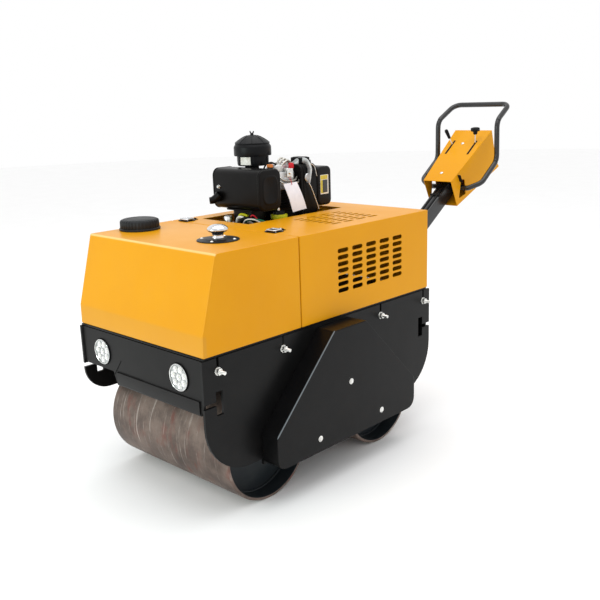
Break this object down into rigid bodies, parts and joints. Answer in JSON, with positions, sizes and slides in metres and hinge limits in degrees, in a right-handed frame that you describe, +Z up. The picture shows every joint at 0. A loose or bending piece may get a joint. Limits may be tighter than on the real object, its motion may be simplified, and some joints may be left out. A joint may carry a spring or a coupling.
{
  "type": "walk-behind double-drum road roller",
  "caption": "Walk-behind road roller: two smooth steel drums in a plate frame, sheet hoods round an air-cooled diesel, and a hinged steering arm with control box and loop handle.",
  "frame": {"origin": "centre of the whole machine's box in plan, on the ground under the drums", "axes": "+X to the machine's left, +Y to the rear along the handle arm, +Z up"},
  "size_m": [0.9092, 2.3155, 1.3835],
  "materials": {
    "yellow_paint": "glossy orange-yellow machine enamel",
    "black_paint": "gloss black enamel",
    "engine_black": "satin black heat-proof paint",
    "drum_steel": "rolled steel with light rust and scratches",
    "machined_steel": "machined steel, lightly oiled",
    "chrome": "bright plated steel",
    "cast_aluminium": "as-cast aluminium",
    "black_plastic": "moulded black plastic",
    "lamp_face": "clear moulded lamp face",
    "yellow_plastic": "moulded yellow plastic"
  },
  "bodies": {
    "frame": {"left_side_plate": "black_paint", "right_side_plate": "black_paint", "front_plate": "black_paint", "rear_plate": "black_paint", "deck_plate": "black_paint", "left_chain_guard": "black_paint", "right_belt_guard": "black_paint", "front_drum_left_bearing": "black_paint", "front_drum_right_bearing": "black_paint", "rear_drum_left_bearing": "black_paint", "rear_drum_right_bearing": "black_paint", "arm_bracket": "black_paint", "arm_pin": "machined_steel", "front_hood": "yellow_paint", "rear_hood": "yellow_paint", "left_headlamp": "lamp_face", "right_headlamp": "lamp_face", "water_filler_cap": "black_plastic", "breather_flange": "black_plastic", "breather_cap": "chrome", "left_latch": "chrome", "right_latch": "chrome", "engine_block": "cast_aluminium", "cylinder_head": "cast_aluminium", "muffler": "engine_black", "exhaust_outlet": "engine_black", "air_cleaner_bowl": "black_plastic", "air_cleaner_cap": "black_plastic", "fan_shroud": "engine_black", "fuel_tank": "black_plastic", "breather_box": "black_plastic", "engine_oil_cap": "yellow_plastic"},
    "front_drum": {"front_drum_shell": "drum_steel", "front_drum_spindle": "machined_steel"},
    "rear_drum": {"rear_drum_shell": "drum_steel", "rear_drum_spindle": "machined_steel"},
    "handle": {"handle_arm": "black_paint", "console_box": "yellow_paint", "handle_loop": "black_paint", "left_lever": "black_plastic", "right_lever": "black_plastic"}
  },
  "joints": [
    {"name": "front_drum_spin", "type": "hinge", "parent": "frame", "child": "front_drum", "pos_m": [0, -0.85725, 0.203], "axis": [1, 0, 0], "continuous": true},
    {"name": "rear_drum_spin", "type": "hinge", "parent": "frame", "child": "rear_drum", "pos_m": [0, -0.20425, 0.203], "axis": [1, 0, 0], "continuous": true},
    {"name": "handle_pivot", "type": "hinge", "parent": "frame", "child": "handle", "pos_m": [0, 0.18725, 0.535], "axis": [1, 0, 0], "range_deg": [-25, 45]}
  ]
}
